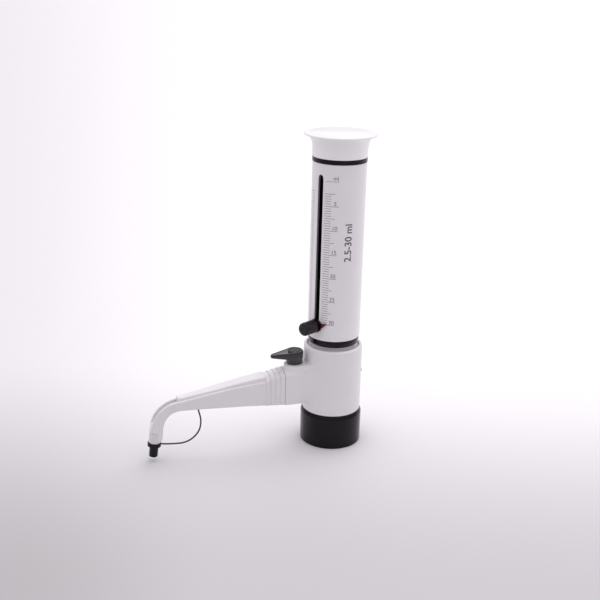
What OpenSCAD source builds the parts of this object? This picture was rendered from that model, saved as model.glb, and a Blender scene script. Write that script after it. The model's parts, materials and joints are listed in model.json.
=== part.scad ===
// Bottle-top piston dispenser, 30 ml, with a recirculation lever and a capped discharge arm.
// Z is up along the barrel, the arm points to -X, and the origin is the centre of the collar's foot.

/* [Collar] */
// Outer diameter of the turning collar
collar_d = 54; // [52:0.5:58]
// Height of the collar
collar_h = 30.5; // [29:0.5:34]
// Root diameter of the collar's thread
thread_d = 45.8; // [44:0.1:46.4]

/* [Valve block] */
// Outer diameter of the housing
block_d = 51.3; // [50.5:0.1:53]
// Height of the housing above the collar
block_h = 60.2; // [58:0.2:64]
// Width of the discharge arm where it leaves the housing
arm_w = 20; // [19:0.5:22]
// Distance of the lever's axis from the barrel's axis
spindle_x = 35.5; // [35:0.5:38]

/* [Discharge spout] */
// Distance of the seam between the housing's arm and the spout
seam_x = 46.5; // [46:0.5:48]
// Distance at which the spout starts to bend down
bend_x = 137.5; // [125:0.5:150]
// Radius of the bend's centre line
bend_r = 21.2; // [18:0.2:24]
// Angle between the nozzle and the vertical
nozzle_tilt = 6; // [2:1:12]

/* [Barrel] */
// Largest volume of one stroke in millilitres
volume_ml = 30; // [10:5:50]
// Stroke for one millilitre
mm_per_ml = 4.12; // [4:0.01:4.6]

/* [Plunger] */
// Outer diameter of the scale sleeve
sleeve_d = 45.3; // [44.8:0.1:46]
// Diameter of the flared cap's rim
cap_d = 60.6; // [54:0.2:64]
// Width of the sleeve's slot
slot_w = 5; // [4.8:0.1:6]

/* [Controls] */
// Diameter of the pointer's clamping knob
knob_d = 11.4; // [10:0.2:13]
// Length of the pointer's clamping knob
knob_len = 14; // [11:0.5:18]
// Reach of the lever from its own axis
lever_reach = 22; // [18:1:26]

/* [Hidden] */
$fn = 96;

// Clearances: between fixed neighbours, and of a shaft in its bore
gap = 0.1;
run = 0.05;
// Overlap that makes a cut or a joint clean
eps = 0.5;

// Levels of the collar and the neck it turns on
lip_z = collar_h - 6.5;
lip_r = 19;
neck_r = lip_r - gap;
groove_r = neck_r - 1.4;
ring_h = 1.5;
neck_z = lip_z - 3.1;
seal_h = 2;
thread_h = neck_z - seal_h - 0.4;

// Levels of the valve block
block_r = block_d / 2;
block_z = collar_h + 0.3;
block_top = block_z + block_h;
cavity_r = 22.6;
floor_z = block_z + 3.2;
arm_z0 = block_z + 9.2;
arm_z1 = block_z + 38;
arm_crown = 3.6;
boss_r = 9.4;
boss_z = block_z + 44.7;
vent_z = block_z + 31.4;

// The core, its neck for the guard tube, and the channels
core_bore_r = 13;
core_r = 16;
core_top = block_top - 2.4;
core_neck_r = 18.95;
core_neck_top = core_top + 6.3;
inlet_z = floor_z + 18;
outlet_z = inlet_z + 5.5;
cartridge_z = inlet_z + 4;
cartridge_r = 7.5;

// Ball valves: a ball on the edge of a round hole sits this far above the edge
function seat_height(ball_r, hole_r) = sqrt(ball_r * ball_r - hole_r * hole_r) + 0.02;
fill_hole_r = 1.8;
fill_ball_r = 3.2;
fill_z = neck_z - seal_h;
fill_seat_z = fill_z + 9.7;
out_hole_r = 1.5;
out_ball_r = 2.4;
out_valve_x = 24;
out_seat_z = inlet_z + 2.5;

// Barrel and stroke
stroke = volume_ml * mm_per_ml;
bore_r = sqrt(1000 / mm_per_ml / PI);
barrel_r = bore_r + 1.6;
barrel_z = core_top - 9;
guard_r = 17.5;
guard_z = core_neck_top + gap;
guard_ring_z = core_top + 4.9;
guard_ring_top = core_top + 10.95;

// Plunger
sleeve_r = sleeve_d / 2;
sleeve_bore_r = sleeve_r - 2;
sleeve_z = guard_ring_top + 0.05;
sleeve_top = sleeve_z + stroke + 28.6;
band_h = 4;
cap_z = sleeve_top + band_h;
cap_top = cap_z + 19.4;
rod_r = 4;
piston_z = barrel_z + 1.6;

// Pointer, set to the largest volume: its knob sits at the low end of the slot
slot_az = -153;
index_z = sleeve_z + 12.8;
tongue_top = index_z + 3;
stop_z = tongue_top + stroke + 0.2;
stud_r = 1.95;
shank_r = 2.3;
knob_x = sleeve_r + 2.85;

// Lever
lever_z = boss_z + 0.2;
lever_top = lever_z + 11.8;
spindle_r = 3;
drive_w = 4.2;

// Spout: widths, lower edge and upper edge at the two ends of its taper
bend_z = inlet_z - 24;
bend_start = 80;
spout_x0 = seam_x + 17;
spout_x1 = bend_x + bend_r * cos(bend_start);
spout_w0 = arm_w - 2;
spout_w1 = 10.8;
spout_low0 = arm_z0 + 1.8;
spout_low1 = bend_z + 16;
spout_top0 = arm_z1 - 4.6;
spout_top1 = bend_z + 25.2;
spine_w = 7;

// Nozzle, ferrule and the tether's cord
nozzle_d = 8.6;
nozzle_w = 9.4;
nozzle_x = bend_x + bend_r * cos(nozzle_tilt);
nozzle_z = bend_z + bend_r * sin(nozzle_tilt);
tube_r = 1.7;
ferrule_s = 3.6;
ferrule_len = 9.8;
tip_s = ferrule_s + ferrule_len;
spigot_r = 2.6;
spigot_len = 5.6;
tip_end = tip_s + spigot_len;
hang_x = spout_x1 - 19;
cord_r = 0.7;

// Fluid line in the arm's frame: its start, and the tangent on to the bend
line_x0 = seam_x + 9.4;
line_dx = line_x0 - bend_x;
line_dz = outlet_z - bend_z;
line_d = norm([line_dx, line_dz]);
line_start = atan2(line_dz, line_dx) - acos(bend_r / line_d);
line_len = sqrt(line_d * line_d - bend_r * bend_r);

// ---- helpers ----

// Solid disc or shaft along Z between two levels
module disc(r, z0, z1) {
  translate([0, 0, z0]) cylinder(r = r, h = z1 - z0);
}

// Round tube along Z between two levels
module tube(r_out, r_in, z0, z1) {
  difference() {
    disc(r_out, z0, z1);
    disc(r_in, z0 - eps, z1 + eps);
  }
}

// Cylinder along X between two distances, at one level
module bar(r, x0, x1, z) {
  translate([x0, 0, z]) rotate([0, 90, 0]) cylinder(r = r, h = x1 - x0);
}

// The arm's frame: X runs outwards along the arm
module arm_side() {
  rotate([0, 0, 180]) children();
}

// The lever's frame: its axis is Z
module at_spindle() {
  arm_side() translate([spindle_x, 0, 0]) children();
}

// The pointer's frame: X runs outwards through the slot
module at_slot() {
  rotate([0, 0, slot_az]) children();
}

// The nozzle's frame: Z runs back up the nozzle from the end of the bend
module at_nozzle() {
  arm_side() translate([nozzle_x, 0, nozzle_z]) rotate([0, -nozzle_tilt, 0]) children();
}

// Upright plate with an outline in X and Z, centred on the arm's middle plane
module side_plate(points, w) {
  rotate([90, 0, 0]) linear_extrude(w, center = true) polygon(points);
}

// Part ring in the arm's middle plane, round the centre of the bend
module bend(a0, a1) {
  translate([bend_x, 0, bend_z]) rotate([90, 0, 0]) rotate([0, 0, a0])
    rotate_extrude(angle = a1 - a0) translate([bend_r, 0]) children();
}

// Cross-section of the arm with a crowned top, drawn with Y across and Z up
module arm_section(w, z0, z1, crown) {
  crown_r = (w * w / 4 + crown * crown) / (2 * crown);
  translate([-w / 2, z0]) square([w, z1 - z0]);
  intersection() {
    translate([0, z1 + crown - crown_r]) circle(crown_r);
    translate([-w / 2, z1 - eps]) square([w, crown + 2 * eps]);
  }
}

// Arm of constant section between two distances
module arm_block(x0, x1, w, z0, z1, crown) {
  translate([x0, 0, 0]) rotate([90, 0, 90]) linear_extrude(x1 - x0) arm_section(w, z0, z1, crown);
}

// ---- collar and neck ----

module threaded_collar() {
  r = collar_d / 2;
  thread_r = thread_d / 2;
  runout = 0.6;
  color("#1b1b1d") rotate_extrude() polygon([
    [thread_r, 0], [r - 0.7, 0], [r, 0.7], [r, collar_h - 3], [r - 1.2, collar_h],
    [lip_r, collar_h], [lip_r, lip_z], [thread_r + runout, lip_z], [thread_r + runout, thread_h],
    [thread_r, thread_h]
  ]);
}

module retaining_ring() {
  opening = 9;
  color("silver") difference() {
    tube(groove_r + 4, groove_r + run, neck_z + 1.5, neck_z + 1.5 + ring_h);
    translate([groove_r - eps, -opening / 2, neck_z]) cube([2 * lip_r, opening, 4]);
  }
}

module bottle_seal() {
  color("#d9d9d2") tube(20.5, 9, fill_z, neck_z - 0.02);
}

// ---- valve block ----

module housing_body() {
  round_r = 3;
  rotate_extrude() {
    translate([0, block_z]) square([block_r, block_h - round_r]);
    translate([0, block_z]) square([block_r - round_r, block_h]);
    translate([block_r - round_r, block_top - round_r]) circle(round_r);
  }
  disc(neck_r, neck_z, block_z + eps);
}

module housing_arm() {
  arm_side() {
    arm_block(cavity_r - 6, seam_x, arm_w, arm_z0, arm_z1, arm_crown);
    translate([spindle_x, 0, 0]) disc(boss_r, arm_z0 + 10, boss_z);
  }
}

module housing_hollow() {
  arm_wall = 2.2;
  disc(core_bore_r, neck_z - eps, floor_z + eps);
  disc(cavity_r, floor_z, block_top + eps);
  tube(neck_r + eps, groove_r, neck_z + 1.45, neck_z + 1.45 + ring_h + gap);
  arm_side() arm_block(0, seam_x + eps, arm_w - 2 * arm_wall, cartridge_z - 9, cartridge_z + 9, 0.5);
  at_spindle() disc(6, cartridge_z, boss_z + eps);
  bar(2.05, cavity_r - 2, block_r + eps, vent_z);
}

module valve_block_housing() {
  color("#dcdcde") difference() {
    union() {
      housing_body();
      housing_arm();
    }
    housing_hollow();
  }
}

module valve_core() {
  color("#f2f2ee") difference() {
    union() {
      disc(core_bore_r - gap, neck_z + 0.3, floor_z + eps);
      disc(core_r, floor_z + run, core_top - 4);
      disc(cavity_r - gap, core_top - 4.6, core_top);
      disc(core_neck_r, core_top - eps, core_neck_top);
    }
    disc(guard_r + gap, core_top, core_neck_top + eps);
    disc(barrel_r + gap, barrel_z - 1.5, core_top + eps);
    disc(4, inlet_z - out_hole_r, barrel_z);
    disc(1.8, fill_seat_z, inlet_z);
    disc(8 + run, neck_z - eps, fill_seat_z + 7.7);
    arm_side() bar(out_hole_r, 0, core_r, inlet_z);
    arm_side() bar(5 + run, core_r - 6, core_r + eps, cartridge_z - 2);
  }
}

module filling_valve_body() {
  color("#e9e9e4") difference() {
    union() {
      disc(6.5, fill_z + run, neck_z + 1);
      disc(8, neck_z + 0.35, fill_seat_z + 7.5);
    }
    disc(4, fill_z - eps, fill_z + 8);
    disc(fill_hole_r, fill_z, fill_seat_z + 1);
    disc(fill_ball_r + 0.8, fill_seat_z, fill_seat_z + 8);
  }
}

module filling_valve_ball() {
  color("#8fa6a8") translate([0, 0, fill_seat_z + seat_height(fill_ball_r, fill_hole_r)])
    sphere(fill_ball_r);
}

module discharge_valve_body() {
  color("#e4e4df") arm_side() difference() {
    union() {
      bar(cartridge_r, core_r + run, seam_x + 4, cartridge_z);
      bar(5, core_r - 5.9, core_r + 1, cartridge_z - 2);
      bar(3.4, seam_x + 3, seam_x + 9, outlet_z);
    }
    bar(out_hole_r, core_r - 7, out_valve_x, inlet_z);
    translate([out_valve_x, 0, 0]) disc(out_hole_r, inlet_z, out_seat_z + 1);
    translate([out_valve_x, 0, 0]) disc(out_ball_r + 0.6, out_seat_z, cartridge_z + 9);
    bar(1.6, out_valve_x, seam_x + 10, outlet_z);
    translate([spindle_x, 0, 0]) disc(spindle_r + run, cartridge_z - 4.5, cartridge_z + 9);
  }
}

module discharge_valve_ball() {
  color("#8fa6a8") arm_side()
    translate([out_valve_x, 0, out_seat_z + seat_height(out_ball_r, out_hole_r)])
      sphere(out_ball_r);
}

module discharge_valve_plug() {
  color("#e4e4df") arm_side() translate([out_valve_x, 0, 0])
    disc(out_ball_r + 0.6 - run, cartridge_z + 5.2, cartridge_z + cartridge_r + 1);
}

// ---- lever and spindle ----

module spindle_gland() {
  z0 = cartridge_z + cartridge_r + 0.2;
  color("#2a2a2d") at_spindle() difference() {
    disc(6 - gap, z0, boss_z - 0.2);
    disc(spindle_r + run, z0 - eps, boss_z);
    disc(spindle_r + 1.75, z0 - eps, z0 + 1.9);
  }
}

module spindle_o_ring() {
  cord_r = 0.8;
  color("#202020") at_spindle() translate([0, 0, cartridge_z + cartridge_r + 1.1])
    rotate_extrude() translate([spindle_r + run + cord_r, 0]) circle(cord_r);
}

module valve_spindle() {
  color("#e9e9e4") at_spindle() difference() {
    union() {
      disc(spindle_r, cartridge_z - 4.4, lever_z);
      translate([-drive_w / 2, -drive_w / 2, lever_z - eps]) cube([drive_w, drive_w, 6]);
    }
    bar(1.6, -spindle_r - eps, spindle_r + eps, outlet_z);
    disc(1.3, lever_z - 2, lever_z + 7);
  }
}

// Plan of the lever: a round hub that runs out to a rounded tip
module lever_plan(hub_r, tip_r) {
  tip_x = lever_reach - tip_r;
  slope = asin((hub_r - tip_r) / tip_x);
  circle(hub_r);
  translate([tip_x, 0]) circle(tip_r);
  polygon([
    for (c = [[0, hub_r], [tip_x, tip_r]]) [c.x + c.y * sin(slope), c.y * cos(slope)],
    for (c = [[tip_x, tip_r], [0, hub_r]]) [c.x + c.y * sin(slope), -c.y * cos(slope)]
  ]);
}

module lever_blade() {
  intersection() {
    translate([0, 0, lever_z]) linear_extrude(20) lever_plan(7.6, 2.4);
    side_plate([
      [-9, lever_z + 4.3], [9, lever_z + 4.3], [lever_reach + 1, lever_z + 6.6],
      [lever_reach + 1, lever_z + 9.4], [6, lever_top], [-9, lever_top]
    ], 20);
  }
}

module valve_lever() {
  socket_w = drive_w + 2 * run;
  color("#161617") at_spindle() difference() {
    union() {
      disc(7, lever_z, lever_z + 5);
      lever_blade();
    }
    translate([-socket_w / 2, -socket_w / 2, lever_z - eps]) cube([socket_w, socket_w, 6.7 + eps]);
    disc(1.4, lever_z, lever_top);
    disc(2.9, lever_z + 8, lever_top);
    disc(6, lever_top - 1.4, lever_top + eps);
  }
}

module lever_screw() {
  color("silver") at_spindle() difference() {
    union() {
      disc(1.25, lever_z - 1.8, lever_z + 8.5);
      disc(2.6, lever_z + 8.05, lever_z + 10);
    }
    translate([0, 0, lever_z + 9]) cylinder(r = 1.4, h = 2, $fn = 6);
  }
}

module lever_cap_disc() {
  color("#3a3c3e") at_spindle() disc(6 - run, lever_top - 1.35, lever_top - 0.1);
}

module vent_plug() {
  color("#1b1b1d") {
    bar(2, block_r - 3, block_r + 1, vent_z);
    bar(2.6, block_r + 0.3, block_r + 1.85, vent_z);
  }
}

// ---- barrel and guard ----

module barrel_gasket() {
  color("#3b3b3b") tube(barrel_r, bore_r + 0.2, barrel_z - 1.45, barrel_z - 0.05);
}

module glass_barrel() {
  color("lightblue", 0.4) tube(barrel_r, bore_r, barrel_z, stop_z - 3);
}

module guard_tube() {
  color("#121214") {
    tube(guard_r, guard_r - 1.5, guard_z, stop_z - gap);
    tube(core_neck_r, guard_r - 1.5, guard_z, guard_z + 2);
  }
}

module guard_ring() {
  color("#161618") rotate_extrude() polygon([
    [core_neck_r + gap, guard_ring_z], [21.3, guard_ring_z], [22.1, guard_ring_z + 2.8],
    [22.4, guard_ring_top], [guard_r + gap, guard_ring_top], [guard_r + gap, guard_z + 2.1],
    [core_neck_r + gap, guard_z + 2.1]
  ]);
}

module stroke_stop_ring() {
  color("#161618") difference() {
    union() {
      disc(sleeve_bore_r - 0.25, stop_z, stop_z + 2.4);
      disc(guard_r - 1.6, stop_z - 2.9, stop_z + eps);
    }
    disc(rod_r + run, stop_z - 4, stop_z + 3);
  }
}

// ---- plunger ----

module piston_seal() {
  seal_r = bore_r - run;
  color("#f4f4f0") difference() {
    disc(seal_r, piston_z, piston_z + 9);
    for (z = [2.2, 5.2])
      tube(seal_r + eps, seal_r - 1, piston_z + z, piston_z + z + 1.6);
    disc(rod_r + run, piston_z + 2.6, piston_z + 10);
  }
}

module piston_rod() {
  color("#e9e9e4") disc(rod_r, piston_z + 2.7, cap_z + 12);
}

// Outline of the cap's flare: a quarter of an ellipse from the wall out to the rim
function flare(steps) = [
  for (i = [0:steps])
    let (a = 90 * i / steps)
    [sleeve_r + 0.5 + (cap_d / 2 - sleeve_r - 0.5) * (1 - cos(a)), cap_z + 7 + 9.8 * sin(a)]
];

module plunger_cap() {
  rim_r = cap_d / 2;
  color("#ececee") {
    rotate_extrude() polygon(concat(
      [[sleeve_bore_r - run - 2, cap_z - 9], [sleeve_bore_r - run, cap_z - 9],
        [sleeve_bore_r - run, cap_z], [sleeve_r + 0.5, cap_z]],
      flare(12),
      [[rim_r, cap_top - 1], [rim_r - 0.8, cap_top], [rim_r - 3, cap_top],
        [rim_r - 4.5, cap_top - 0.6], [0, cap_top - 0.6], [0, cap_top - 4],
        [sleeve_bore_r - run - 2, cap_top - 4]]
    ));
    tube(7.5, rod_r + run, cap_z - 6, cap_top - 3.5);
  }
}

module sleeve_ring() {
  color("#161618") tube(sleeve_r + 0.35, sleeve_bore_r, sleeve_top + 0.02, cap_z - 0.02);
}

// Radial cut with the slot's outline between two levels
module slot_cut(z0, z1) {
  rotate([90, 0, 90]) linear_extrude(sleeve_r + 2) {
    for (z = [z0, z1]) translate([0, z]) circle(slot_w / 2);
    translate([-slot_w / 2, z0]) square([slot_w, z1 - z0]);
  }
}

module scale_sleeve() {
  color("#e6e4e8") difference() {
    tube(sleeve_r, sleeve_bore_r, sleeve_z, sleeve_top);
    at_slot() slot_cut(index_z - 0.4, index_z + stroke + 4.1);
  }
}

// ---- pointer ----

module index_tongue() {
  color("#2a2a2d") at_slot() {
    intersection() {
      tube(sleeve_bore_r - 0.15, guard_r + 0.3, index_z - 3, tongue_top);
      translate([0, -4, 0]) cube([sleeve_r, 8, tongue_top]);
    }
    bar(shank_r, guard_r + 1.5, knob_x - 0.5, index_z);
    bar(stud_r, knob_x - 1, knob_x + 8, index_z);
  }
}

// Plate round the shank with a straight-topped tip that reaches the scale
module index_pointer() {
  tip = 10;
  plate_r = 6;
  color("#5b1016") at_slot() difference() {
    intersection() {
      tube(sleeve_r + 1.7, sleeve_r + 0.12, index_z - 10, index_z + 10);
      union() {
        bar(plate_r, sleeve_r - 4, sleeve_r + 4, index_z);
        translate([sleeve_r - 6, 0, index_z]) rotate([90, 0, 90]) linear_extrude(12)
          polygon([[2, 3], [tip, 3], [tip, 2.5], [4.2, -3.4]]);
      }
    }
    bar(shank_r + 0.1, 0, 2 * sleeve_r, index_z);
  }
}

module index_knob() {
  flutes = 14;
  color("#19191b") at_slot() difference() {
    intersection() {
      translate([knob_x, 0, index_z]) rotate([90, 0, 90]) linear_extrude(knob_len) difference() {
        circle(knob_d / 2);
        for (i = [0:flutes - 1]) rotate(360 * i / flutes) translate([knob_d / 2 + 0.35, 0]) circle(0.8);
      }
      translate([knob_x - 1, 0, index_z]) rotate([0, 90, 0])
        cylinder(r1 = knob_d / 2 + knob_len, r2 = knob_d / 2 - 1, h = knob_len + 1.01);
    }
    bar(stud_r + run, knob_x - 1, knob_x + 9, index_z);
  }
}

// ---- discharge arm ----

// Grip steps next to the seam, each one a little smaller than the last
module grip_steps() {
  for (i = [0:3])
    let (x = seam_x + 0.3 + 4.3 * i, w = arm_w - 0.5 * i) {
      arm_block(x, x + 4.4, w - 1, arm_z0 + 1.4 + 0.2 * i, arm_z1 - 1 - i, arm_crown - 0.4);
      arm_block(x + 0.3, x + 3.5, w, arm_z0 + 0.8 + 0.2 * i, arm_z1 - 0.5 - i, arm_crown);
    }
}

// Long tapered stretch, drawn smaller all round by one wall for its hollow
module spout_taper(wall) {
  half_w0 = spout_w0 / 2 - wall;
  half_w1 = spout_w1 / 2 - wall;
  intersection() {
    side_plate([
      [spout_x0, spout_low0 + wall], [spout_x1, spout_low1 + wall],
      [spout_x1, spout_top1 - wall], [spout_x0, spout_top0 - wall]
    ], arm_w);
    linear_extrude(arm_z1) polygon([
      [spout_x0, -half_w0], [spout_x1, -half_w1], [spout_x1, half_w1], [spout_x0, half_w0]
    ]);
  }
}

// Raised spine on top of the taper, which stops where the bend starts
module spout_spine() {
  rise0 = 4.3;
  rise1 = 3.2;
  side_plate([
    [spout_x0 - 2, spout_top0 - rise0], [spout_x1 - 1, spout_top1 - rise1],
    [spout_x1 - 1, spout_top1 + rise1], [spout_x0 - 2, spout_top0 + rise0]
  ], spine_w);
}

module spout_hollow() {
  wall = 2;
  difference() {
    spout_taper(wall);
    translate([spout_x1 - 22, -arm_w, 0]) cube([2 * arm_w, 2 * arm_w, arm_z1]);
  }
  arm_block(seam_x, spout_x0 + 2, arm_w - 4.6, arm_z0 + 4.2, arm_z1 - 4.8, 1);
}

module spout_body() {
  grip_steps();
  spout_taper(0);
  spout_spine();
  bend(nozzle_tilt, bend_start + 2) square([nozzle_d, nozzle_w], center = true);
}

// Open channel along the outer side of the bend, a little narrower than the tube in it
module bend_channel() {
  channel_w = 2 * tube_r;
  bend(nozzle_tilt + 8, bend_start - 1) translate([0, -channel_w / 2]) square([nozzle_d, channel_w]);
}

module discharge_housing() {
  color("#d4d4d8") difference() {
    union() {
      arm_side() spout_body();
      at_nozzle() disc(nozzle_w / 2 + 0.5, -ferrule_s + gap, 0.6);
    }
    arm_side() {
      spout_hollow();
      fluid_line(tube_r + gap);
      bend_channel();
      translate([hang_x, 0, 0]) disc(cord_r + gap, arm_z0, arm_z0 + 6);
    }
  }
}

module discharge_coupling() {
  color("#e4e4df") arm_side() difference() {
    rotate([0, 90, 0]) rotate([0, 0, 90]) translate([0, 0, seam_x + 4.1]) translate([0, outlet_z, 0])
      cylinder(r = 5.6, h = 6.5, $fn = 6);
    bar(3.4 + gap, seam_x + 4, seam_x + 9.1, outlet_z);
    bar(tube_r + 0.6, seam_x + 9, seam_x + 11, outlet_z);
  }
}

// The fluid line runs straight, round the bend, and down the nozzle.
// The bend is a hair thinner than the straight runs, so that their ends join inside them
module fluid_line(r, hair = 0.02) {
  lap = 0.3;
  translate([line_x0, 0, outlet_z]) rotate([0, 180 - line_start, 0])
    cylinder(r = r, h = line_len + lap);
  bend(nozzle_tilt, line_start) circle(r - hair);
  translate([nozzle_x, 0, nozzle_z]) rotate([0, -nozzle_tilt, 0]) disc(r, -tip_end, lap);
}

module discharge_tube() {
  color("#e8eef0", 0.7) arm_side() difference() {
    fluid_line(tube_r);
    fluid_line(0.9, -0.02);
  }
}

module nozzle_tip() {
  color("#b9c3cc") at_nozzle() difference() {
    union() {
      disc(5, -tip_s, -ferrule_s);
      disc(spigot_r, -tip_end, -tip_s + eps);
    }
    disc(tube_r + run, -tip_end - eps, 0);
  }
}

module closure_cap() {
  color("#141416") at_nozzle() difference() {
    union() {
      disc(5.8, -tip_s - 3.4, -tip_s - 0.1);
      disc(3.85, -tip_s - 12.9, -tip_s - 3);
    }
    disc(spigot_r + run, -tip_end - 1, -tip_s + eps);
  }
}

// Cord that hangs in a bow from a hole in the spout to the closure cap
module cap_tether() {
  bow_r = 17;
  bow_z = arm_z0 - 11;
  color("#26262a") arm_side() {
    translate([hang_x, 0, 0]) disc(cord_r, bow_z, arm_z0 + 5);
    translate([hang_x + bow_r, 0, bow_z]) rotate([90, 0, 0]) rotate([0, 0, 180])
      rotate_extrude(angle = 90) translate([bow_r, 0]) circle(cord_r);
    bar(cord_r, hang_x + bow_r, nozzle_x - 5, bow_z - bow_r);
  }
}

threaded_collar();
retaining_ring();
bottle_seal();
valve_block_housing();
valve_core();
filling_valve_body();
filling_valve_ball();
discharge_valve_body();
discharge_valve_ball();
discharge_valve_plug();
spindle_gland();
spindle_o_ring();
valve_spindle();
valve_lever();
lever_screw();
lever_cap_disc();
vent_plug();
barrel_gasket();
glass_barrel();
guard_tube();
guard_ring();
stroke_stop_ring();
piston_seal();
piston_rod();
plunger_cap();
sleeve_ring();
scale_sleeve();
index_tongue();
index_pointer();
index_knob();
discharge_housing();
discharge_coupling();
discharge_tube();
nozzle_tip();
closure_cap();
cap_tether();
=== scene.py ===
"""Looks of a 30 ml bottle-top dispenser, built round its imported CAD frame.

Shapes are drawn in millimetres, and turned into metres when their mesh is made.
The arm's own frame has X outwards along the arm, which is -X in the row frame.
"""

import json
import math

import bmesh
import bpy
from mathutils import Matrix, Vector


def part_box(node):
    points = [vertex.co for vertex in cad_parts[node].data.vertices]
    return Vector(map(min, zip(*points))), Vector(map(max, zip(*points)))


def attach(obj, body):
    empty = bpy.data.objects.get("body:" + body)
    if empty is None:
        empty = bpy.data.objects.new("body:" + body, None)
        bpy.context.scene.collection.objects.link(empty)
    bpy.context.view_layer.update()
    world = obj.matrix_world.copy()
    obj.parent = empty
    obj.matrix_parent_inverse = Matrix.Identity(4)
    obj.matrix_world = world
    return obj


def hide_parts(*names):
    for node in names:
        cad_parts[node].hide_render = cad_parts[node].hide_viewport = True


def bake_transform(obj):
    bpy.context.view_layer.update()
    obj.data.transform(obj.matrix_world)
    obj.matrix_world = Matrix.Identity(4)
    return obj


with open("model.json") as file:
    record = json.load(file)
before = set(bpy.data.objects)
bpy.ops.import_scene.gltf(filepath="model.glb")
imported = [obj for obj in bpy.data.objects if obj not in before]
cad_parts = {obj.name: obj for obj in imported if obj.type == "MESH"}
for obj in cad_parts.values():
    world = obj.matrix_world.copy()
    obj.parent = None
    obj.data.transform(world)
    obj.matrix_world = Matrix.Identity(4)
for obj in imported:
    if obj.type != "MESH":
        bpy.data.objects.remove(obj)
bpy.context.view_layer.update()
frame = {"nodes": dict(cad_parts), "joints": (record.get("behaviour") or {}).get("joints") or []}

MM = 0.001


def box(node):
    """Lowest and highest corner of a CAD node, in millimetres."""
    low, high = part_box(node)
    return low / MM, high / MM


def joint(name):
    """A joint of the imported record."""
    return next(j for j in frame["joints"] if j["name"] == name)


# ---- outlines ----


def arc(x, y, radius, start, end, steps):
    """Points of an arc round (x, y), with its angles in degrees."""
    points = []
    for k in range(steps + 1):
        a = math.radians(start + (end - start) * k / steps)
        points.append((x + radius * math.cos(a), y + radius * math.sin(a)))
    return points


def rounded(corners, steps=6):
    """Closed outline of corners (x, y, radius), with each corner replaced by an arc."""
    outline = []
    for i, (x, y, radius) in enumerate(corners):
        corner = Vector((x, y))
        if radius == 0:
            outline.append((x, y))
            continue
        before = (Vector(corners[i - 1][:2]) - corner).normalized()
        after = (Vector(corners[(i + 1) % len(corners)][:2]) - corner).normalized()
        half = before.angle(after) / 2
        centre = corner + (before + after).normalized() * (radius / math.sin(half))
        start = corner + before * (radius / math.tan(half)) - centre
        end = corner + after * (radius / math.tan(half)) - centre
        turn = math.atan2(start.x * end.y - start.y * end.x, start.dot(end))
        first = math.degrees(math.atan2(start.y, start.x))
        outline += arc(centre.x, centre.y, radius, first, first + math.degrees(turn), steps)
    return outline


def spline(stations, values, x):
    """Smooth curve through the values at the stations, read at x."""
    x = min(max(x, stations[0]), stations[-1])
    i = max(k for k in range(len(stations) - 1) if stations[k] <= x)
    slopes = []
    for k in (i, i + 1):
        a, b = max(k - 1, 0), min(k + 1, len(stations) - 1)
        slopes.append((values[b] - values[a]) / (stations[b] - stations[a]))
    span = stations[i + 1] - stations[i]
    t = (x - stations[i]) / span
    return (
        (2 * t**3 - 3 * t**2 + 1) * values[i]
        + (t**3 - 2 * t**2 + t) * span * slopes[0]
        + (3 * t**2 - 2 * t**3) * values[i + 1]
        + (t**3 - t**2) * span * slopes[1]
    )


def mirrored(half):
    """Closed outline of a half outline that starts and ends on the middle line."""
    return half + [(-y, z) for y, z in reversed(half[1:-1])]


# ---- shapes: a shape is its points and its faces ----


def skin(rings, loop=False):
    """Shape over a row of rings of equal length. With loop, the last ring joins the first."""
    n = len(rings[0])
    points = [p for ring in rings for p in ring]
    faces = []
    for i in range(len(rings) if loop else len(rings) - 1):
        a = i * n
        b = (i + 1) % len(rings) * n
        faces += [(a + k, a + (k + 1) % n, b + (k + 1) % n, b + k) for k in range(n)]
    if not loop:
        faces.append(tuple(reversed(range(n))))
        faces.append(tuple(range((len(rings) - 1) * n, len(rings) * n)))
    return points, faces


def lathe(outline, steps=144):
    """Closed outline of (radius, z) turned round Z."""
    rings = []
    for i in range(steps):
        a = 2 * math.pi * i / steps
        rings.append([(r * math.cos(a), r * math.sin(a), z) for r, z in outline])
    return skin(rings, loop=True)


def moved(shape, matrix):
    """The shape in the frame that the matrix gives, in millimetres."""
    points, faces = shape
    return [tuple(matrix @ Vector(p)) for p in points], faces


def piece(name, shapes, body, slot, nodes=(), sharp=32):
    """New object of one or more shapes that rides on a body, and stands for CAD nodes.
    Edges that bend by more than the sharp angle, in degrees, stay sharp."""
    work = bmesh.new()
    for points, faces in shapes:
        verts = [work.verts.new(Vector(p) * MM) for p in points]
        for face in faces:
            work.faces.new([verts[k] for k in face])
    bmesh.ops.remove_doubles(work, verts=work.verts, dist=1e-7)
    bmesh.ops.dissolve_degenerate(work, edges=work.edges, dist=1e-8)
    bmesh.ops.recalc_face_normals(work, faces=work.faces)
    mesh = bpy.data.meshes.new(name)
    work.to_mesh(mesh)
    work.free()
    mesh.shade_smooth()
    mesh.set_sharp_from_angle(angle=math.radians(sharp))
    mesh.materials.append(MATERIALS[slot])
    made = bpy.data.objects.new(name, mesh)
    bpy.context.scene.collection.objects.link(made)
    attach(made, body)
    if nodes:
        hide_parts(*nodes)
    return made


# ---- materials ----


def add_node(tree, kind, inputs, **settings):
    """New shader node. An input is set to a value, or fed by the output of another node."""
    node = tree.nodes.new("ShaderNode" + kind)
    for name, value in settings.items():
        setattr(node, name, value)
    for socket, value in inputs.items():
        feed(tree, node.inputs[socket], value)
    return node


def feed(tree, socket, value):
    """Sets a socket to a value, or links the output of a node to it."""
    if isinstance(value, bpy.types.NodeSocket):
        tree.links.new(value, socket)
    else:
        socket.default_value = value


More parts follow.
